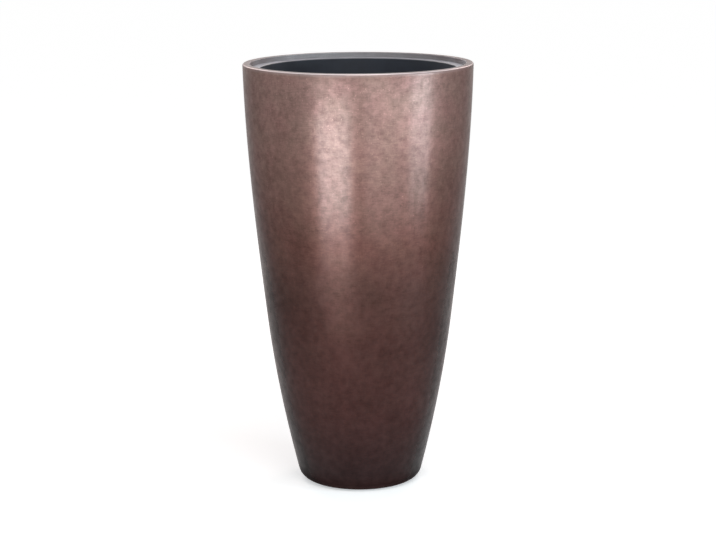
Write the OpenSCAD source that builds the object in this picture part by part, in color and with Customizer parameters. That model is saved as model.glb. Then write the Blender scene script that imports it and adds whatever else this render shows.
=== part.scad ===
// Tall floor planter: a bowed, tapering shell with a drop-in planting liner.
// Millimetres, +Z up. The origin is on the floor, on the centre line of the round plan.

/* [Shell] */
// Height from the floor to the top of the rim
height = 910; // [850:5:960]
// Outer diameter at the rim
rim_d = 490; // [480:1:510]
// Outer diameter at the waist, where the two bowed stretches of the wall meet
waist_d = 398; // [386:1:410]
// Height of the waist above the floor
waist_z = 364; // [330:2:400]
// Outer diameter just above the rounded foot
foot_d = 269; // [256:1:282]
// Lean of the wall from the vertical, just above the foot, in degrees
foot_lean = 14.2; // [13:0.1:15.5]
// Lean of the wall at the waist, in degrees
waist_lean = 6.8; // [6:0.1:7.6]
// Lean of the wall at the rim, in degrees
rim_lean = 1.4; // [0.8:0.1:2]
// Thickness of the wall
wall = 5; // [4:0.5:7]
// Thickness of the base
base_t = 10; // [8:0.5:14]
// Radius of the rounded edge between base and wall
foot_round = 29; // [25:0.5:34]
// Diameter of the drain hole in the middle of the base
base_drain_d = 25; // [16:1:40]

/* [Rim] */
// Width of the flat top of the rim
rim_w = 16; // [13:0.5:20]
// Radius of the rim's outer edge
rim_round = 3.5; // [2:0.5:5]
// Radius of the rim's inner edge
rim_inner_round = 1.5; // [1:0.25:3]
// Width of the shoulder that carries the seat ring
shoulder_w = 8; // [5:0.5:10]
// Depth of the shoulder, above its sloping underside
shoulder_t = 10; // [6:1:16]

/* [Seat ring] */
// Width of the ring that the liner hangs on
ring_w = 16; // [13:0.5:20]
// Thickness of the ring
ring_t = 6; // [4:0.5:8]
// Chamfer on the ring's bore
ring_chamfer = 1; // [0.5:0.25:2]
// Glue line between the ring and the rim, on the radius
bond_gap = 0.3; // [0.2:0.05:0.6]

/* [Liner] */
// Depth of the liner, from the top of its flange to its underside
liner_depth = 330; // [280:5:420]
// How far the flange lies below the top of the rim
liner_drop = 10; // [8:0.5:18]
// Lean of the liner's wall from the vertical, in degrees
liner_lean = 5.8; // [4:0.2:8]
// Thickness of the liner's wall and floor
liner_wall = 3; // [2:0.25:4.5]
// Thickness of the flange
flange_t = 3; // [2.5:0.25:5]
// Radius of the liner's outer bottom corner
liner_corner = 22; // [14:1:30]
// Radius of the lip where the flange turns down into the liner
lip_round = 3; // [1.5:0.25:5]
// Clearance around the flange, on the radius
flange_gap = 1; // [0.5:0.25:2]
// Clearance between the liner's wall and the seat ring, on the radius
liner_gap = 1.5; // [1:0.25:3]
// Diameter of the drain hole in the liner's floor
liner_drain_d = 25; // [16:1:40]

/* [Drain plug] */
// Running clearance of the plug in the drain hole, on the radius
plug_gap = 0.1; // [0.05:0.01:0.2]
// How far the plug's flat head reaches past the drain hole, on the radius
plug_lip = 6; // [4:0.5:10]
// Thickness of the plug's head
plug_head_t = 4; // [3:0.5:6]
// How far the plug's shank reaches below the liner's floor
plug_reach = 5; // [3:0.5:8]
// Diameter of the plug's pull knob
knob_d = 16; // [13:0.5:18]
// Height of the pull knob above the head
knob_h = 14; // [11:0.5:18]
// Radius of the waist under the knob, and of the knob's rounded edges
knob_round = 3; // [2:0.25:4]

/* [Foot pads] */
// Diameter of a foot pad
pad_d = 28; // [20:1:32]
// Thickness of a foot pad
pad_t = 3; // [2.5:0.25:4]
// How far the pads hold the base off the floor
pad_stand = 1; // [0.5:0.25:2]
// Clearance between a pad and its pocket, on the radius
pad_gap = 0.5; // [0.3:0.1:1]
// Flat land left between a pad and the rounded edge of the base
pad_margin = 4; // [2:0.5:8]
// Chamfer on a pad's lower edge
pad_chamfer = 0.5; // [0.2:0.1:0.8]

/* [Hidden] */
pad_count = 4;
$fn = 96;

// Steps of each bowed stretch of the wall, and of each rounded edge
bands = 16;
arc_steps = 8;
// How far a cut runs past the face that it opens
past = 1;

shell_brown = [0.46, 0.32, 0.29];
bond_grey = [0.52, 0.52, 0.51];
liner_grey = [0.17, 0.19, 0.22];
rubber_black = [0.09, 0.09, 0.09];

// Heights of the shell
base_z = pad_stand;
base_top = base_z + base_t;
foot_centre_z = base_z + foot_round;
foot_edge_z = foot_centre_z - foot_round * sin(foot_lean);
foot_flat_r = foot_d / 2 - foot_round * cos(foot_lean);
rim_edge_z = height - rim_round;

// Where the liner hangs: its flange on the seat ring, and the ring on the shoulder
flange_top = height - liner_drop;
seat_z = flange_top - flange_t;
shoulder_z = seat_z - ring_t;
recess_r = rim_d / 2 - rim_w;
neck_r = recess_r - shoulder_w;
seat_bore_r = recess_r - ring_w;

// The liner's wall, from the flange down to its rounded corner
liner_r = seat_bore_r - liner_gap;
liner_bottom = flange_top - liner_depth;
liner_floor = liner_bottom + liner_wall;
corner_z = liner_bottom + liner_corner;
corner_edge_z = corner_z - liner_corner * sin(liner_lean);
corner_edge_r = liner_r - (seat_z - corner_edge_z) * tan(liner_lean);
corner_r = corner_edge_r - liner_corner * cos(liner_lean);

pad_ring_r = foot_flat_r - pad_margin - pad_d / 2;

// Points of an arc about centre c, from angle a to angle b
function arc(c, r, a, b) =
    [for (i = [0 : arc_steps]) let (u = a + (b - a) * i / arc_steps) c + r * [cos(u), sin(u)]];

// Radius and height, and the lean there, at share t of a bowed stretch from p to q, which
// leaves p at lean a and reaches q at lean b
function bow_point(p, a, q, b, t) =
    let (rise = q[1] - p[1])
    [(1 - 3 * t ^ 2 + 2 * t ^ 3) * p[0] + (t - 2 * t ^ 2 + t ^ 3) * rise * tan(a)
       + (3 * t ^ 2 - 2 * t ^ 3) * q[0] + (t ^ 3 - t ^ 2) * rise * tan(b),
     p[1] + t * rise];
function bow_lean(p, a, q, b, t) =
    atan((6 * t - 6 * t ^ 2) * (q[0] - p[0]) / (q[1] - p[1])
         + (1 - 4 * t + 3 * t ^ 2) * tan(a) + (3 * t ^ 2 - 2 * t) * tan(b));

// A bowed stretch, moved inwards by inset, square to the wall
function bow(p, a, q, b, inset) =
    [for (i = [0 : bands])
        let (t = i / bands, u = bow_lean(p, a, q, b, t))
        bow_point(p, a, q, b, t) + inset * [-cos(u), sin(u)]];

foot_edge = [foot_d / 2, foot_edge_z];
waist = [waist_d / 2, waist_z];
rim_edge = [rim_d / 2, rim_edge_z];

// Both stretches of the wall, from the foot to the rim, with the waist's point once
function wall_line(inset) =
    let (low = bow(foot_edge, foot_lean, waist, waist_lean, inset),
         high = bow(waist, waist_lean, rim_edge, rim_lean, inset))
    concat(low, [for (i = [1 : bands]) high[i]]);

shell_outline = concat(
    [[0, base_z]],
    arc([foot_flat_r, foot_centre_z], foot_round, -90, -foot_lean),
    [for (i = [1 : 2 * bands]) wall_line(0)[i]],
    [for (i = [1 : arc_steps])
        arc([rim_d / 2 - rim_round, rim_edge_z], rim_round, 0, 90)[i]],
    [[0, height]]);

// Where the inner foot's rounding meets the flat floor
floor_turn = asin((foot_round - base_t) / (foot_round - wall));

// The room inside the wall, up through the top of the rim
room_outline = concat(
    [[0, base_top]],
    arc([foot_flat_r, foot_centre_z], foot_round - wall, -floor_turn, -foot_lean),
    [for (i = [1 : 2 * bands]) wall_line(wall)[i]],
    [[rim_d / 2 - wall, height + past], [0, height + past]]);

// What the rim leaves open: the recess, the neck inside the shoulder, and all that lies below
// the shoulder's 45 degree underside
neck_outline = concat(
    [[0, 0], [rim_d, 0], [rim_d, shoulder_z - shoulder_t - (rim_d - neck_r)],
     [neck_r, shoulder_z - shoulder_t], [neck_r, shoulder_z], [recess_r, shoulder_z]],
    arc([recess_r + rim_inner_round, height - rim_inner_round], rim_inner_round, 180, 90),
    [[recess_r + rim_inner_round, height + past], [0, height + past]]);

ring_outline = [
    [seat_bore_r, shoulder_z + ring_chamfer], [seat_bore_r + ring_chamfer, shoulder_z],
    [recess_r - bond_gap, shoulder_z], [recess_r - bond_gap, seat_z],
    [seat_bore_r + ring_chamfer, seat_z], [seat_bore_r, seat_z - ring_chamfer]];

// The liner's section, up its outside, round the flange and down its inside
liner_skin = liner_wall / cos(liner_lean);
liner_lip_r = liner_r - liner_skin;
flange_edge_r = recess_r - flange_gap;
flange_round = flange_t / 3;
liner_outline = concat(
    [[liner_drain_d / 2, liner_bottom]],
    arc([corner_r, corner_z], liner_corner, -90, -liner_lean),
    [[liner_r, seat_z], [flange_edge_r, seat_z]],
    arc([flange_edge_r - flange_round, flange_top - flange_round], flange_round, 0, 90),
    arc([liner_lip_r + lip_round, flange_top - lip_round], lip_round, 90, 180),
    arc([corner_r, corner_z], liner_corner - liner_wall, -liner_lean, -90),
    [[liner_drain_d / 2, liner_floor]]);

shank_r = liner_drain_d / 2 - plug_gap;
shank_chamfer = 1.5;
plug_head_r = liner_drain_d / 2 + plug_lip;
plug_head_round = plug_head_t / 2;
knob_base = liner_floor + plug_head_t;
knob_top = knob_base + knob_h;
knob_waist_r = knob_d / 2 - knob_round;
plug_outline = concat(
    [[0, liner_bottom - plug_reach], [shank_r - shank_chamfer, liner_bottom - plug_reach],
     [shank_r, liner_bottom - plug_reach + shank_chamfer], [shank_r, liner_floor],
     [plug_head_r, liner_floor]],
    arc([plug_head_r - plug_head_round, knob_base - plug_head_round], plug_head_round, 0, 90),
    arc([knob_d / 2, knob_base + knob_round], knob_round, 270, 90),
    arc([knob_waist_r, knob_top - knob_round], knob_round, 0, 90),
    [[0, knob_top]]);

pad_outline = [
    [0, 0], [pad_d / 2 - pad_chamfer, 0], [pad_d / 2, pad_chamfer], [pad_d / 2, pad_t], [0, pad_t]];

// Turns to pad number i, on the ring of pads, the first one 45 degrees from +X
module at_pad(i) {
    rotate([0, 0, 45 + (i - 1) * 360 / pad_count]) translate([pad_ring_r, 0, 0]) children();
}

module outer_shell() {
    color(shell_brown)
    difference() {
        rotate_extrude() polygon(shell_outline);
        intersection() {
            rotate_extrude() polygon(room_outline);
            rotate_extrude() polygon(neck_outline);
        }
        translate([0, 0, base_z - past]) cylinder(h = base_t + 2 * past, d = base_drain_d);
        for (i = [1 : pad_count])
            at_pad(i) cylinder(h = pad_t, r = pad_d / 2 + pad_gap);
    }
}

module liner_seat_ring() {
    color(bond_grey) rotate_extrude() polygon(ring_outline);
}

module liner() {
    color(liner_grey) rotate_extrude() polygon(liner_outline);
}

module liner_drain_plug() {
    color(rubber_black) rotate_extrude() polygon(plug_outline);
}

module foot_pad(i) {
    color(rubber_black) at_pad(i) rotate_extrude() polygon(pad_outline);
}

outer_shell();
liner_seat_ring();
liner();
liner_drain_plug();
for (i = [1 : pad_count])
    foot_pad(i);
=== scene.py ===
"""Looks of a tall planter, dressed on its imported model.

A shell of leaf-lacquered resin with a raw grey skin inside, a dark planting liner that hangs in
its rim on a bonded ring, a rubber drain plug and four rubber foot pads. Metres, +Z up.
"""

import math

import bpy
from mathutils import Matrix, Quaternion, Vector


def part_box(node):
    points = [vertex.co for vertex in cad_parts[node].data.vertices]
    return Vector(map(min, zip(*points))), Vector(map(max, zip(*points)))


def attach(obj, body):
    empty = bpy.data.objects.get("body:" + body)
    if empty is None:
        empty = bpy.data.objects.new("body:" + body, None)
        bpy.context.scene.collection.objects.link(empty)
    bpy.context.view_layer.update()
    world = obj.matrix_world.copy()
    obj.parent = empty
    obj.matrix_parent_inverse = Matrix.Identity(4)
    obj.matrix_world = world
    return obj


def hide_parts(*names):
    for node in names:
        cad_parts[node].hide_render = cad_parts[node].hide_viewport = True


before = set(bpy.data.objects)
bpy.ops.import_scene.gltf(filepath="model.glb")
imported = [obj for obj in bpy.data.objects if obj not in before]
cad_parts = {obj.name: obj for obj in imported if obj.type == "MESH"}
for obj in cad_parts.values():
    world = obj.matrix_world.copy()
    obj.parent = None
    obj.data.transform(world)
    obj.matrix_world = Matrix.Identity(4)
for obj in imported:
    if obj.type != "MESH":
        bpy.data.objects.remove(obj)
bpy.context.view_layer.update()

MM = 0.001

# Steps of a turned piece round the centre line, of a bowed wall and of a rounded edge
TURNS = 240
BANDS = 36
ARC_STEPS = 10
SMOOTH_ANGLE = math.radians(35)
MERGE = 1e-6
# The upright part of a normal, past which a face counts as level
LEVEL = 0.999

# What the frame's boxes don't give below repeats the part's own sizes
shell_low, shell_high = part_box("outer_shell")
ring_low, ring_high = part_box("liner_seat_ring")
liner_low, liner_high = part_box("liner")
plug_low, plug_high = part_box("liner_drain_plug")

# The shell's wall is two bowed stretches, from foot to waist and from waist to rim
TOP = shell_high.z
BASE = shell_low.z
RIM_R = shell_high.x
WAIST_R, WAIST_Z = 199 * MM, 364 * MM
FOOT_R = 134.5 * MM
FOOT_LEAN, WAIST_LEAN, RIM_LEAN = math.radians(14.2), math.radians(6.8), math.radians(1.4)
WALL = 5 * MM
BASE_T = 10 * MM
FOOT_ROUND = 29 * MM
DRAIN_R = 12.5 * MM

# The rim, and the shoulder inside it that carries the ring
RIM_W = 16 * MM
RIM_ROUND = 3.5 * MM
RIM_INNER_ROUND = 1.5 * MM
SHOULDER_W = 8 * MM
SHOULDER_T = 10 * MM
RECESS_R = RIM_R - RIM_W
NECK_R = RECESS_R - SHOULDER_W
SHOULDER_Z = ring_low.z

# The ring and the liner on it
RING_W = 16 * MM
RING_BORE_R = RECESS_R - RING_W
RING_EDGE = 1 * MM
SEAT_Z = ring_high.z
FLANGE_TOP = liner_high.z
LINER_BOTTOM = liner_low.z
FLANGE_R = liner_high.x
LINER_GAP = 1.5 * MM
LINER_LEAN = math.radians(5.8)
LINER_WALL = 3 * MM
LINER_CORNER = 22 * MM
FLANGE_ROUND = 1 * MM
LIP_ROUND = 3 * MM
LINER_R = RING_BORE_R - LINER_GAP

PLUG_GAP = 0.1 * MM
PLUG_HEAD_T = 4 * MM
KNOB_R = 8 * MM
KNOB_ROUND = 3 * MM

PADS = ["foot_pad_1", "foot_pad_2", "foot_pad_3", "foot_pad_4"]


def arc(centre, radius, start, end, steps=ARC_STEPS):
    """Points of an arc about centre in the plane of radius and height, angles in radians."""
    angles = [start + (end - start) * i / steps for i in range(steps + 1)]
    return [(centre[0] + radius * math.cos(a), centre[1] + radius * math.sin(a)) for a in angles]


def bow(start, start_lean, end, end_lean, inset):
    """A bowed stretch of wall from start to end, moved inwards by inset, square to the wall.

    It is a cubic curve in height, whose lean off the upright is given at both ends.
    """
    rise = end[1] - start[1]
    leave, reach = math.tan(start_lean), math.tan(end_lean)
    points = []
    for i in range(BANDS + 1):
        t = i / BANDS
        radius = ((1 - 3 * t**2 + 2 * t**3) * start[0] + (t - 2 * t**2 + t**3) * rise * leave
                  + (3 * t**2 - 2 * t**3) * end[0] + (t**3 - t**2) * rise * reach)
        lean = math.atan((6 * t - 6 * t**2) * (end[0] - start[0]) / rise
                         + (1 - 4 * t + 3 * t**2) * leave + (3 * t**2 - 2 * t) * reach)
        points.append((radius - inset * math.cos(lean),
                       start[1] + t * rise + inset * math.sin(lean)))
    return points


def wall_line(inset):
    """The whole wall from foot to rim, with the waist's point once."""
    foot = (FOOT_R, BASE + FOOT_ROUND * (1 - math.sin(FOOT_LEAN)))
    waist = (WAIST_R, WAIST_Z)
    rim = (RIM_R, TOP - RIM_ROUND)
    return (bow(foot, FOOT_LEAN, waist, WAIST_LEAN, inset)
            + bow(waist, WAIST_LEAN, rim, RIM_LEAN, inset)[1:])


def shell_section():
    """Once round the shell's section: base, wall, rim, recess, shoulder, inner wall and floor."""
    centre = (FOOT_R - FOOT_ROUND * math.cos(FOOT_LEAN), BASE + FOOT_ROUND)
    foot = arc(centre, FOOT_ROUND, math.radians(-90), -FOOT_LEAN)
    rim = arc((RIM_R - RIM_ROUND, TOP - RIM_ROUND), RIM_ROUND, 0, math.radians(90))
    lip = arc((RECESS_R + RIM_INNER_ROUND, TOP - RIM_INNER_ROUND), RIM_INNER_ROUND,
              math.radians(90), math.radians(180))
    shoulder_low = SHOULDER_Z - SHOULDER_T
    under = [(RECESS_R, SHOULDER_Z), (NECK_R, SHOULDER_Z), (NECK_R, shoulder_low)]
    # The shoulder's underside slopes at 45 degrees out to the inner wall
    inner = [p for p in reversed(wall_line(WALL)) if p[1] < shoulder_low - (p[0] - NECK_R)]
    meet = shoulder_low - (inner[0][0] - NECK_R)
    under.append((inner[0][0], meet))
    turn = math.asin((FOOT_ROUND - BASE_T) / (FOOT_ROUND - WALL))
    heel = arc(centre, FOOT_ROUND - WALL, -FOOT_LEAN, -turn)
    floor = [(DRAIN_R, BASE + BASE_T)]
    return ([(DRAIN_R, BASE)] + foot + wall_line(0)[1:] + rim[1:] + lip + under + inner
            + heel[1:] + floor)


def ring_section():
    """Once round the seat ring's section, chamfered at its bore."""
    outer = ring_high.x
    return [(RING_BORE_R, SHOULDER_Z + RING_EDGE), (RING_BORE_R + RING_EDGE, SHOULDER_Z),
            (outer, SHOULDER_Z), (outer, SEAT_Z), (RING_BORE_R + RING_EDGE, SEAT_Z),
            (RING_BORE_R, SEAT_Z - RING_EDGE)]


def liner_section():
    """Once round the liner's section: up its outside, round the flange and down its inside."""
    corner_z = LINER_BOTTOM + LINER_CORNER
    edge_z = corner_z - LINER_CORNER * math.sin(LINER_LEAN)
    edge_r = LINER_R - (SEAT_Z - edge_z) * math.tan(LINER_LEAN)
    corner_r = edge_r - LINER_CORNER * math.cos(LINER_LEAN)
    lip_r = LINER_R - LINER_WALL / math.cos(LINER_LEAN)
    down, out, up = math.radians(-90), 0, math.radians(90)
    outside = arc((corner_r, corner_z), LINER_CORNER, down, -LINER_LEAN)
    flange = arc((FLANGE_R - FLANGE_ROUND, FLANGE_TOP - FLANGE_ROUND), FLANGE_ROUND, out, up)
    lip = arc((lip_r + LIP_ROUND, FLANGE_TOP - LIP_ROUND), LIP_ROUND, up, math.radians(180))
    inside = arc((corner_r, corner_z), LINER_CORNER - LINER_WALL, -LINER_LEAN, down)
    return ([(DRAIN_R, LINER_BOTTOM)] + outside + [(LINER_R, SEAT_Z), (FLANGE_R, SEAT_Z)]
            + flange + lip + inside + [(DRAIN_R, LINER_BOTTOM + LINER_WALL)])


def turned(name, section, closed=True):
    """A piece turned about the centre line: its section is drawn point by point, then spun."""
    bpy.ops.object.select_all(action="DESELECT")
    first = section[0]
    bpy.ops.mesh.primitive_plane_add(size=MM, location=(first[0], 0, first[1]))
    piece = bpy.context.object
    piece.name = piece.data.name = name
    bpy.ops.object.transform_apply(location=True)
    bpy.ops.object.mode_set(mode="EDIT")
    bpy.ops.mesh.merge(type="CENTER")
    path = section[1:] + ([first] if closed else [])
    here = first
    for there in path:
        step = (there[0] - here[0], 0, there[1] - here[1])
        bpy.ops.mesh.extrude_region_move(TRANSFORM_OT_translate={"value": step})
        here = there
    bpy.ops.mesh.select_all(action="SELECT")
    bpy.ops.mesh.spin(steps=TURNS, angle=math.tau, center=(0, 0, 0), axis=(0, 0, 1))
    bpy.ops.mesh.select_all(action="SELECT")
    bpy.ops.mesh.remove_doubles(threshold=MERGE)
    bpy.ops.mesh.normals_make_consistent(inside=False)
    bpy.ops.object.mode_set(mode="OBJECT")
    bpy.ops.object.shade_smooth_by_angle(angle=SMOOTH_ANGLE)
    return piece


def srgb(red, green, blue):
    """A colour given as it looks on screen, 0 to 255, as linear RGBA."""
    def linear(c):
        c = c / 255
        return c / 12.92 if c <= 0.04045 else ((c + 0.055) / 1.055) ** 2.4
    return (linear(red), linear(green), linear(blue), 1.0)


def fill(tree, socket, value):
    """Gives a socket a value, or links another socket to it."""
    if isinstance(value, bpy.types.NodeSocket):
        tree.links.new(value, socket)
    else:
        socket.default_value = value


def add(tree, kind, inputs=None, **settings):
    """Adds a node with these settings, its inputs filled with values or links."""
    node = tree.nodes.new(kind)
    for key, value in settings.items():
        setattr(node, key, value)
    for key, value in (inputs or {}).items():
        fill(tree, node.inputs[key], value)
    return node


def maths(tree, operation, a, b=0.0, clamp=False):
    """The result of a Math node."""
    return add(tree, "ShaderNodeMath", {0: a, 1: b}, operation=operation,
               use_clamp=clamp).outputs[0]


def plus(tree, a, b, clamp=False):
    """Two values added."""
    return maths(tree, "ADD", a, b, clamp)


def minus(tree, a, b, clamp=False):
    """The second value taken from the first."""
    return maths(tree, "SUBTRACT", a, b, clamp)


def times(tree, a, b, clamp=False):
    """One value times another."""
    return maths(tree, "MULTIPLY", a, b, clamp)


def weighed(tree, first, first_weight, second, second_weight):
    """Two values added, each times its weight."""
    return plus(tree, times(tree, first, first_weight), times(tree, second, second_weight))


def spread(tree, value, low, high, at_low=0.0, at_high=1.0, smooth=False):
    """Runs from at_low, where the value is low, to at_high, where it is high, and no further."""
    return add(tree, "ShaderNodeMapRange", {
        "Value": value, "From Min": low, "From Max": high, "To Min": at_low, "To Max": at_high},
        interpolation_type="SMOOTHSTEP" if smooth else "LINEAR").outputs[0]


def noise_of(tree, place, scale, detail):
    """A Noise node's value at a place."""
    return add(tree, "ShaderNodeTexNoise", {
        "Vector": place, "Scale": scale, "Detail": detail}).outputs["Fac"]


def new_effect(name, inputs):
    """A shader node group that takes a vector and these floats, and puts out one value."""
    group = bpy.data.node_groups.new(name, "ShaderNodeTree")
    group.interface.new_socket("Vector", in_out="INPUT", socket_type="NodeSocketVector")
    for label, value in inputs.items():
        socket = group.interface.new_socket(label, in_out="INPUT", socket_type="NodeSocketFloat")
        socket.default_value = value
    group.interface.new_socket("Value", in_out="OUTPUT", socket_type="NodeSocketFloat")
    given = add(group, "NodeGroupInput").outputs
    result = add(group, "NodeGroupOutput").inputs["Value"]
    return group, given, result


def leaf_dashes_effect():
    """Crossed short strokes, upright and level, as a brushed metal leaf shows."""
    group, given, result = new_effect("leaf_dashes", {"Length": 7 * MM, "Width": 2 * MM})
    upright_weight, level_weight = 0.7, 1.3
    across = maths(group, "DIVIDE", 1.0, given["Width"])
    along = maths(group, "DIVIDE", 1.0, given["Length"])
    strokes = []
    for scales in ((across, across, along), (along, along, across)):
        scale = add(group, "ShaderNodeCombineXYZ", dict(enumerate(scales))).outputs[0]
        place = add(group, "ShaderNodeVectorMath", {0: given["Vector"], 1: scale},
                    operation="MULTIPLY").outputs[0]
        strokes.append(noise_of(group, place, scale=1.0, detail=2.0))
    upright, level = strokes
    total = weighed(group, upright, upright_weight, level, level_weight)
    fill(group, result, spread(group, total, 0.75, 1.25))
    return group


def clouds_effect():
    """Soft patches of about the given size."""
    group, given, result = new_effect("clouds", {"Size": 40 * MM, "Detail": 3.0})
    scale = maths(group, "DIVIDE", 1.0, given["Size"])
    noise = noise_of(group, given["Vector"], scale, given["Detail"])
    fill(group, result, spread(group, noise, 0.3, 0.7))
    return group


def flecks_effect():
    """Small sparse spots, more of them as Share grows."""
    group, given, result = new_effect("flecks", {"Size": 4 * MM, "Share": 0.1})
    # A spot begins where the noise passes the first level less Share, and is full at the second
    begin, full = 0.78, 0.82
    scale = maths(group, "DIVIDE", 1.0, given["Size"])
    noise = noise_of(group, given["Vector"], scale, detail=1.0)
    start = minus(group, begin, given["Share"])
    fill(group, result, spread(group, noise, start, full))
    return group


def rise_effect():
    """A mask that grows smoothly from 0 at the height Low to 1 at High."""
    group, given, result = new_effect("rise", {"Low": 0.0, "High": 1.0})
    height = add(group, "ShaderNodeSeparateXYZ", {0: given["Vector"]}).outputs["Z"]
    fill(group, result, spread(group, height, given["Low"], given["High"], smooth=True))
    return group


LEAF_DASHES = leaf_dashes_effect()
CLOUDS = clouds_effect()
FLECKS = flecks_effect()
RISE = rise_effect()


def use(tree, group, place, **values):
    """Places an effect group in a material and returns its value at a place."""
    return add(tree, "ShaderNodeGroup", {"Vector": place, **values}, node_tree=group).outputs[0]


def new_material(name):
    """A material with its surface shader, and the piece's own coordinates."""
    material = bpy.data.materials.new(name)
    material.use_nodes = True
    tree = material.node_tree
    place = add(tree, "ShaderNodeTexCoord").outputs["Object"]
    return material, tree, tree.nodes["Principled BSDF"], place


def dress(tree, shader, values):
    """Fills the shader's named inputs with numbers, colours or links."""
    for name, value in values.items():
        fill(tree, shader.inputs[name], value)


def mix(tree, share, first, second, blend_type="MIX"):
    """Two colours mixed by a share from 0 to 1."""
    return add(tree, "ShaderNodeMix", {0: share, 6: first, 7: second}, data_type="RGBA",
               blend_type=blend_type).outputs[2]


def scaled(tree, colour, factor):
    """A colour times a factor."""
    return add(tree, "ShaderNodeVectorMath", {0: colour, "Scale": factor},
               operation="SCALE").outputs[0]


def ramp(tree, share, stops):
    """A colour that runs through the stops, each a share from 0 to 1 and a linear colour."""
    node = add(tree, "ShaderNodeValToRGB", {0: share})
    points = node.color_ramp.elements
    while len(points) < len(stops):
        points.new(0.5)
    for point, (place, colour) in zip(points, stops):
        point.position = place
        point.color = (*colour, 1.0)
    return node.outputs[0]


def relief(tree, height, depth, strength):
    """The normal of a bump of the given depth in metres."""
    return add(tree, "ShaderNodeBump", {
        "Height": height, "Distance": depth, "Strength": strength}).outputs["Normal"]


# The leaf's linear colour by share of the height, from the dark foot to the pale rim: painted
# shade darkens it towards the foot and painted light pales it towards the rim
BODY_COLOURS_AND_SHADE = [
    (0.0, (0.0700, 0.0380, 0.0360)), (0.016, (0.0230, 0.0100, 0.0095)),
    (0.05, (0.0175, 0.0042, 0.0039)), (0.2, (0.0370, 0.0100, 0.0078)),
    (0.4, (0.0350, 0.0092, 0.0060)), (0.5, (0.0420, 0.0138, 0.0096)),
    (0.6, (0.0660, 0.0245, 0.0180)), (0.8, (0.1240, 0.0640, 0.0535)),
    (1.0, (0.1780, 0.1040, 0.0910))]
# Faint tints that the leaf takes in patches, and the pale colour of a painted highlight on the
# rim's outer edge
COOL_TINT = (0.975, 1.03, 1.0, 1.0)
WARM_TINT = (1.025, 0.97, 0.99, 1.0)
RIM_HIGHLIGHT_COLOUR = (0.77, 0.69, 0.70, 1.0)


def leaf_mottling(tree, place):
    """The leaf's tone from 0 to 1, of strokes and patches in two sizes each, and its patches."""
    long_strokes = use(tree, LEAF_DASHES, place, Length=12 * MM, Width=3.5 * MM)
    short_strokes = use(tree, LEAF_DASHES, place, Length=5 * MM, Width=1.6 * MM)
    broad_clouds = use(tree, CLOUDS, place, Size=90 * MM, Detail=2.0)
    small_clouds = use(tree, CLOUDS, place, Size=15 * MM, Detail=3.0)
    brushed = weighed(tree, long_strokes, 0.55, short_strokes, 0.45)
    cloudy = weighed(tree, broad_clouds, 0.35, small_clouds, 0.65)
    return weighed(tree, brushed, 0.4, cloudy, 0.6), cloudy


def leaf_colour(tree, place, share, tone):
    """The leaf's colour by height with painted shade and light, tinted and shaded in patches,
    with paler flecks further up.
    """
    darkest, palest = 0.6, 1.4
    fleck_weight, fleck_gain = 0.5, 2.5
    # The ramp's darkening towards the foot is painted shade, and its paling towards the rim is
    # painted light
    body = ramp(tree, share, BODY_COLOURS_AND_SHADE)
    warmth = use(tree, CLOUDS, place, Size=50 * MM, Detail=4.0)
    tint = mix(tree, warmth, COOL_TINT, WARM_TINT)
    tinted = mix(tree, 1.0, body, tint, "MULTIPLY")
    leaf = scaled(tree, tinted, spread(tree, tone, 0.0, 1.0, darkest, palest))
    flecks = use(tree, FLECKS, place, Size=3.5 * MM, Share=0.1)
    rubbed = times(tree, flecks, times(tree, share, fleck_weight))
    return mix(tree, rubbed, leaf, scaled(tree, leaf, fleck_gain))


def painted_rim_highlight(tree, place, sideways):
    """A painted highlight: a pale line round the rim's outer edge, a faint halo below it, less at
    the two sides.
    """
    line_weight, flat_weight, halo_weight = 0.85, 0.8, 0.1
    edge = use(tree, RISE, place, Low=TOP - 2.2 * MM, High=TOP - 1.2 * MM)
    flat = use(tree, RISE, place, Low=TOP - 0.7 * MM, High=TOP - 0.05 * MM)
    line = minus(tree, edge, times(tree, flat, flat_weight), clamp=True)
    below = use(tree, RISE, place, Low=TOP - 9 * MM, High=TOP - 2.5 * MM)
    halo = minus(tree, below, edge, clamp=True)
    kept = spread(tree, sideways, 160 * MM, 225 * MM, 1.0, 0.5)
    return times(tree, weighed(tree, line, line_weight, halo, halo_weight), kept)


def lacquer_weight(tree, place, share, cloudy):
    """The lacquer's share: patchy, thinner upwards, rubbed thin at the foot, fuller on the rim.
    """
    lower_wall, upper_wall, on_rim = 0.37, 0.32, 0.2
    wall = spread(tree, share, 0.6, 0.95, lower_wall, upper_wall)
    patchy = plus(tree, 0.7, times(tree, cloudy, 0.6))
    foot = use(tree, RISE, place, Low=0.0, High=50 * MM)
    lacquer = times(tree, times(tree, wall, patchy), foot)
    rim = use(tree, RISE, place, Low=TOP - RIM_ROUND, High=TOP)
    return plus(tree, lacquer, times(tree, rim, on_rim), clamp=True)


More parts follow.
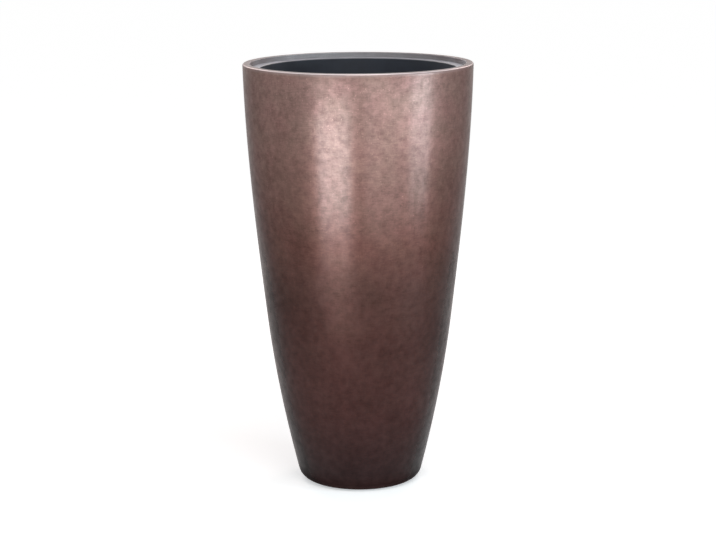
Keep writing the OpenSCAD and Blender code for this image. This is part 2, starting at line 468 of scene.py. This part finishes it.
def leaf_lacquer():
    """Brown metal leaf under a satin lacquer, mottled and cross-brushed, darker at the foot by
    painted shade.
    """
    material, tree, shader, place = new_material("leaf_lacquer")
    parts = add(tree, "ShaderNodeSeparateXYZ", {0: place}).outputs
    share = maths(tree, "DIVIDE", parts["Z"], TOP)
    sideways = maths(tree, "ABSOLUTE", parts["X"])
    tone, cloudy = leaf_mottling(tree, place)
    leaf = leaf_colour(tree, place, share, tone)
    # A painted highlight along the rim's outer edge, with a faint halo just below it
    rim_highlight = painted_rim_highlight(tree, place, sideways)
    # The leaf thins out over the lowest 20 mm
    leafed = use(tree, RISE, place, Low=0.0, High=20 * MM)
    dress(tree, shader, {
        "Base Color": mix(tree, rim_highlight, leaf, RIM_HIGHLIGHT_COLOUR),
        "Metallic": times(tree, leafed, 0.8),
        "Roughness": minus(tree, 0.46, times(tree, tone, 0.12)),
        "Specular IOR Level": 0.0,
        "Specular Tint": (0.3, 0.3, 0.3, 1.0),
        "Coat Weight": lacquer_weight(tree, place, share, cloudy),
        "Coat Roughness": 0.22,
        "Normal": relief(tree, tone, 0.2 * MM, 0.35)})
    return material


def raw_resin():
    """Pale grey gelcoat and glass fibre, with patches of brown paint sprayed over it under the
    rim, which at the left and right tips also stand in as painted shade.
    """
    material, tree, shader, place = new_material("raw_resin")
    strands = use(tree, LEAF_DASHES, place, Length=24 * MM, Width=1.4 * MM)
    clouds = use(tree, CLOUDS, place, Size=60 * MM, Detail=4.0)
    tone = weighed(tree, strands, 0.4, clouds, 0.6)
    grey = mix(tree, tone, srgb(172, 174, 178), srgb(212, 213, 218))
    # The brown spray, real in patches and painted shade at the two tips, gets heavier towards the
    # left and the right, and ends 30 mm below the rim
    spray = use(tree, RISE, place, Low=TOP - 30 * MM, High=TOP - 2 * MM)
    patches = use(tree, CLOUDS, place, Size=60 * MM, Detail=5.0)
    side = add(tree, "ShaderNodeSeparateXYZ", {0: place}).outputs["X"]
    right = spread(tree, side, -50 * MM, 200 * MM, 0.0, 0.8)
    left = spread(tree, side, -150 * MM, -230 * MM, 0.0, 0.9)
    patchy = times(tree, plus(tree, patches, 0.3), plus(tree, right, left))
    # Brown spray in patches, and painted shade darkening the recess at the two tips
    spray_and_shade = times(tree, spray, patchy, clamp=True)
    dress(tree, shader, {
        "Base Color": mix(tree, spray_and_shade, grey, srgb(116, 98, 98)),
        "Roughness": plus(tree, 0.42, times(tree, strands, 0.2)),
        "Normal": relief(tree, tone, 0.3 * MM, 0.5)})
    return material


def liner_plastic():
    """Moulded dark blue-grey plastic with dusty patches, paler on the flange as a painted sheen.
    """
    material, tree, shader, place = new_material("liner_plastic")
    grain = use(tree, CLOUDS, place, Size=1.1 * MM, Detail=2.0)
    dust = use(tree, CLOUDS, place, Size=35 * MM, Detail=5.0)
    tone = weighed(tree, grain, 0.35, dust, 0.65)
    wall = mix(tree, tone, srgb(24, 31, 43), srgb(42, 50, 63))
    # The flange's pale colour is a painted sheen, the grazing reflection of the bright
    # surroundings
    flange = mix(tree, tone, srgb(142, 143, 151), srgb(172, 173, 181))
    flange_sheen = use(tree, RISE, place, Low=FLANGE_TOP - 2.6 * MM, High=FLANGE_TOP - 0.4 * MM)
    dress(tree, shader, {
        "Base Color": mix(tree, flange_sheen, wall, flange),
        "Roughness": plus(tree, 0.38, times(tree, tone, 0.14)),
        "Normal": relief(tree, grain, 0.05 * MM, 0.4)})
    return material


def black_rubber():
    """Matt black rubber with a fine grain and a little dust."""
    material, tree, shader, place = new_material("black_rubber")
    grain = use(tree, CLOUDS, place, Size=0.7 * MM, Detail=3.0)
    dust = use(tree, CLOUDS, place, Size=8 * MM, Detail=4.0)
    dress(tree, shader, {
        "Base Color": mix(tree, dust, srgb(26, 26, 27), srgb(44, 43, 42)),
        "Roughness": plus(tree, 0.62, times(tree, grain, 0.2)),
        "Normal": relief(tree, grain, 0.06 * MM, 0.5)})
    return material


LACQUER = leaf_lacquer()
RESIN = raw_resin()
PLASTIC = liner_plastic()
RUBBER = black_rubber()


def cut_pad_pockets(shell):
    """Sinks a round pocket into the base for each foot pad, a little wider than the pad."""
    pocket_gap = 0.5 * MM
    pocket_sides = 64
    for pad in PADS:
        low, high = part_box(pad)
        centre = (low + high) / 2
        bpy.ops.object.select_all(action="DESELECT")
        bpy.ops.mesh.primitive_cylinder_add(
            vertices=pocket_sides, radius=(high.x - low.x) / 2 + pocket_gap, depth=high.z,
            location=(centre.x, centre.y, high.z / 2))
        cutter = bpy.context.object
        bpy.context.view_layer.objects.active = shell
        pocket = shell.modifiers.new("pocket", "BOOLEAN")
        pocket.operation = "DIFFERENCE"
        pocket.solver = "EXACT"
        pocket.object = cutter
        bpy.ops.object.modifier_apply(modifier=pocket.name)
        bpy.data.objects.remove(cutter, do_unlink=True)


def raw_inside(place, facing):
    """True for a place of the shell that is left raw: inside the rim, inside, and underneath."""
    nearly_level = 0.9
    from_middle = math.hypot(place.x, place.y)
    towards_middle = facing.x * place.x + facing.y * place.y < 0
    recess = from_middle < RECESS_R + RIM_INNER_ROUND and place.z > SHOULDER_Z - MM
    inner_wall = towards_middle and place.z < TOP - RIM_INNER_ROUND
    underside = facing.z < -LEVEL and place.z < BASE + MM
    floor = facing.z > nearly_level and place.z < BASE + 2 * BASE_T
    drain = from_middle < DRAIN_R + MM
    return recess or inner_wall or underside or floor or drain


def make_shell():
    """The outer shell, lacquered outside and over the rim, and raw inside and underneath."""
    shell = turned("outer_shell_moulding", shell_section())
    cut_pad_pockets(shell)
    shell.data.materials.clear()
    shell.data.materials.append(LACQUER)
    shell.data.materials.append(RESIN)
    for face in shell.data.polygons:
        face.material_index = int(raw_inside(face.center, face.normal))
    bpy.ops.object.select_all(action="DESELECT")
    bpy.context.view_layer.objects.active = shell
    shell.select_set(True)
    bpy.ops.object.shade_smooth_by_angle(angle=SMOOTH_ANGLE)
    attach(shell, "shell")
    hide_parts("outer_shell")


def make_ring():
    """The bonded ring that the liner's flange hangs on."""
    ring = turned("liner_seat_ring_bonded", ring_section())
    ring.data.materials.append(RESIN)
    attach(ring, "shell")
    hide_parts("liner_seat_ring")


def make_liner():
    """The planting liner with its flange."""
    liner = turned("planting_liner", liner_section())
    liner.data.materials.append(PLASTIC)
    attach(liner, "liner")
    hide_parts("liner")


def make_plug():
    """The rubber plug in the liner's drain hole, with its pull knob."""
    floor = LINER_BOTTOM + LINER_WALL
    shank_r = DRAIN_R - PLUG_GAP
    tip = 1.5 * MM
    head_r = plug_high.x
    head_top = floor + PLUG_HEAD_T
    head_round = PLUG_HEAD_T / 2
    dimple_r, dimple_depth = 2.5 * MM, 0.5 * MM
    up = math.radians(90)
    section = ([(0, plug_low.z), (shank_r - tip, plug_low.z), (shank_r, plug_low.z + tip),
                (shank_r, floor), (head_r, floor)]
               + arc((head_r - head_round, head_top - head_round), head_round, 0, up)
               + arc((KNOB_R, head_top + KNOB_ROUND), KNOB_ROUND, 3 * up, up)
               + arc((KNOB_R - KNOB_ROUND, plug_high.z - KNOB_ROUND), KNOB_ROUND, 0, up)
               + [(dimple_r, plug_high.z), (dimple_r - dimple_depth, plug_high.z - dimple_depth),
                  (0, plug_high.z - dimple_depth)])
    plug = turned("drain_plug_rubber", section, closed=False)
    plug.data.materials.append(RUBBER)
    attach(plug, "drain_plug")
    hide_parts("liner_drain_plug")


def cut_tread(pad, low):
    """Presses two ring grooves into a pad's underside, one inside the other."""
    lands = (3.2 * MM, 2.2 * MM)
    groove_w, groove_depth, groove_slope = 1.2 * MM, 0.6 * MM, 0.4 * MM
    touching = 0.01 * MM
    bpy.ops.object.mode_set(mode="EDIT")
    bpy.ops.mesh.select_mode(type="FACE")
    bpy.ops.mesh.select_all(action="DESELECT")
    bpy.ops.object.mode_set(mode="OBJECT")
    for face in pad.data.polygons:
        face.select = face.normal.z < -LEVEL and abs(face.center.z - low.z) < touching
    bpy.ops.object.mode_set(mode="EDIT")
    for land in lands:
        for inwards, outwards in ((land, 0), (groove_slope, -groove_depth), (groove_w, 0),
                                  (groove_slope, groove_depth)):
            bpy.ops.mesh.inset(thickness=inwards, depth=outwards)
    bpy.ops.object.mode_set(mode="OBJECT")


def make_pads():
    """The foot pads: rubber discs with a rounded edge and a grooved tread."""
    pad_sides = 72
    edge_round, edge_steps = 0.6 * MM, 3
    for name in PADS:
        low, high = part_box(name)
        centre = (low + high) / 2
        bpy.ops.object.select_all(action="DESELECT")
        bpy.ops.mesh.primitive_cylinder_add(
            vertices=pad_sides, radius=(high.x - low.x) / 2, depth=high.z - low.z,
            location=centre)
        pad = bpy.context.object
        pad.name = pad.data.name = name + "_rubber"
        bpy.ops.object.transform_apply(location=True)
        rounding = pad.modifiers.new("rounding", "BEVEL")
        rounding.width = edge_round
        rounding.segments = edge_steps
        bpy.ops.object.modifier_apply(modifier=rounding.name)
        cut_tread(pad, low)
        bpy.ops.object.shade_smooth_by_angle(angle=SMOOTH_ANGLE)
        pad.data.materials.append(RUBBER)
        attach(pad, "shell")
        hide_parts(name)


def hang(name, lamp, place):
    """Puts a lamp in its place, out of the camera's sight."""
    stand = bpy.data.objects.new(name, lamp)
    stand.location = place
    stand.visible_camera = False
    bpy.context.scene.collection.objects.link(stand)
    return stand


def softbox(name, angle, distance, height, width, tall, power, colour, aim_height=None):
    """A soft rectangular lamp that faces the planter, level unless an aim height is given.

    The angle is in degrees from the camera's side, and grows towards the camera's right. The
    height is that of the lamp's middle.
    """
    aim = Vector((0, 0, height if aim_height is None else aim_height))
    turn = math.radians(angle)
    place = Vector((math.sin(turn) * distance, -math.cos(turn) * distance, height))
    lamp = bpy.data.lights.new(name, "AREA")
    lamp.shape = "RECTANGLE"
    lamp.size, lamp.size_y = width, tall
    lamp.energy = power
    lamp.color = colour
    stand = hang(name, lamp, place)
    stand.rotation_mode = "QUATERNION"
    stand.rotation_quaternion = (aim - place).to_track_quat("-Z", "Y")


def ceiling_lamp(name, height, size, power):
    """A soft square lamp overhead, facing down."""
    lamp = bpy.data.lights.new(name, "AREA")
    lamp.shape = "SQUARE"
    lamp.size = size
    lamp.energy = power
    hang(name, lamp, (0, 0, height))


def seen_directly(tree):
    """1 for rays from the camera, mirrors and glass, and 0 for the light that falls on things."""
    path = add(tree, "ShaderNodeLightPath").outputs
    bright = maths(tree, "MAXIMUM", path["Is Camera Ray"], path["Is Glossy Ray"])
    return maths(tree, "MAXIMUM", bright, path["Is Transmission Ray"])


def studio_world(ambient):
    """A white surround, dimmer where it only lights the planter."""
    world = bpy.data.worlds.new("studio")
    world.use_nodes = True
    tree = world.node_tree
    tree.nodes.clear()
    white = (1, 1, 1, 1)
    glow = add(tree, "ShaderNodeBackground", {"Color": white, "Strength": ambient}).outputs[0]
    wall = add(tree, "ShaderNodeBackground", {"Color": white, "Strength": 1.0}).outputs[0]
    both = add(tree, "ShaderNodeMixShader", {0: seen_directly(tree), 1: glow, 2: wall}).outputs[0]
    add(tree, "ShaderNodeOutputWorld", {"Surface": both})
    bpy.context.scene.world = world


def studio_floor(near_lift, far_lift, shade_lift):
    """A plain pale floor, lifted to white for the camera, least where the shadow lies."""
    floor_size = 80
    near, far = 0.4, 3.0
    bpy.ops.object.select_all(action="DESELECT")
    bpy.ops.mesh.primitive_plane_add(size=floor_size)
    floor = bpy.context.object
    floor.name = "studio_floor"
    material = bpy.data.materials.new("pale_floor")
    material.use_nodes = True
    tree = material.node_tree
    tree.nodes.clear()
    paint = add(tree, "ShaderNodeBsdfDiffuse", {"Color": (0.8, 0.8, 0.8, 1)}).outputs[0]
    place = add(tree, "ShaderNodeTexCoord").outputs["Object"]
    away = add(tree, "ShaderNodeVectorMath", {0: place}, operation="LENGTH").outputs["Value"]
    lift = spread(tree, away, near, far, near_lift, far_lift, smooth=True)
    # Under the foot's rounding the floor lies in its shade, and is lifted least
    open_floor = spread(tree, away, FOOT_R - FOOT_ROUND, FOOT_R - 5 * MM, shade_lift, 1.0,
                        smooth=True)
    strength = times(tree, seen_directly(tree), times(tree, lift, open_floor))
    glow = add(tree, "ShaderNodeEmission", {"Strength": strength}).outputs[0]
    both = add(tree, "ShaderNodeAddShader", {0: paint, 1: glow}).outputs[0]
    add(tree, "ShaderNodeOutputMaterial", {"Surface": both})
    floor.data.materials.append(material)


def photo_camera():
    """The photograph's viewpoint, fitted to the outline and the ellipse of the rim."""
    distance, elevation, roll = 4.437, math.radians(11.38), math.radians(-0.33)
    aim = Vector((-2.5 * MM, 0, 461.1 * MM))
    focal_pixels, image_width = 2051.7, 716
    back = Vector((0, -math.cos(elevation), math.sin(elevation)))
    view = bpy.data.cameras.new("photo_camera")
    view.sensor_width = 36
    view.lens = focal_pixels * view.sensor_width / image_width
    camera = bpy.data.objects.new("photo_camera", view)
    camera.location = aim + back * distance
    camera.rotation_mode = "QUATERNION"
    camera.rotation_quaternion = (-back).to_track_quat("-Z", "Y") @ Quaternion((0, 0, 1), roll)
    bpy.context.scene.collection.objects.link(camera)
    bpy.context.scene.camera = camera


photo_camera()
make_shell()
make_ring()
make_liner()
make_plug()
make_pads()

studio_world(ambient=0.12)
studio_floor(near_lift=0.53, far_lift=0.9, shade_lift=0.6)
softbox("left_softbox", angle=-24, distance=1.6, height=0.29, width=0.9, tall=0.45,
        power=17.2, colour=(0.88, 1.03, 1.09))
softbox("right_softbox", angle=61, distance=1.6, height=0.6, width=0.64, tall=0.82,
        power=11.6, colour=(0.81, 1.01, 1.11))
softbox("front_panel", angle=26, distance=1.8, height=0.36, width=1.3, tall=0.7,
        power=9.2, colour=(0.93, 1.02, 1.05))
softbox("top_softbox", angle=10, distance=1.9, height=2.6, width=1.2, tall=0.8,
        power=18, colour=(1.03, 0.99, 0.97), aim_height=0.8)
for back_name, back_angle in (("back_left_softbox", -150), ("back_right_softbox", 150)):
    softbox(back_name, angle=back_angle, distance=2.0, height=1.9, width=1.0, tall=1.0,
            power=12, colour=(1.12, 0.97, 0.93), aim_height=0.5)
ceiling_lamp("ceiling_softbox", height=2.6, size=1.6, power=8)
bpy.context.scene.view_settings.view_transform = "Standard"
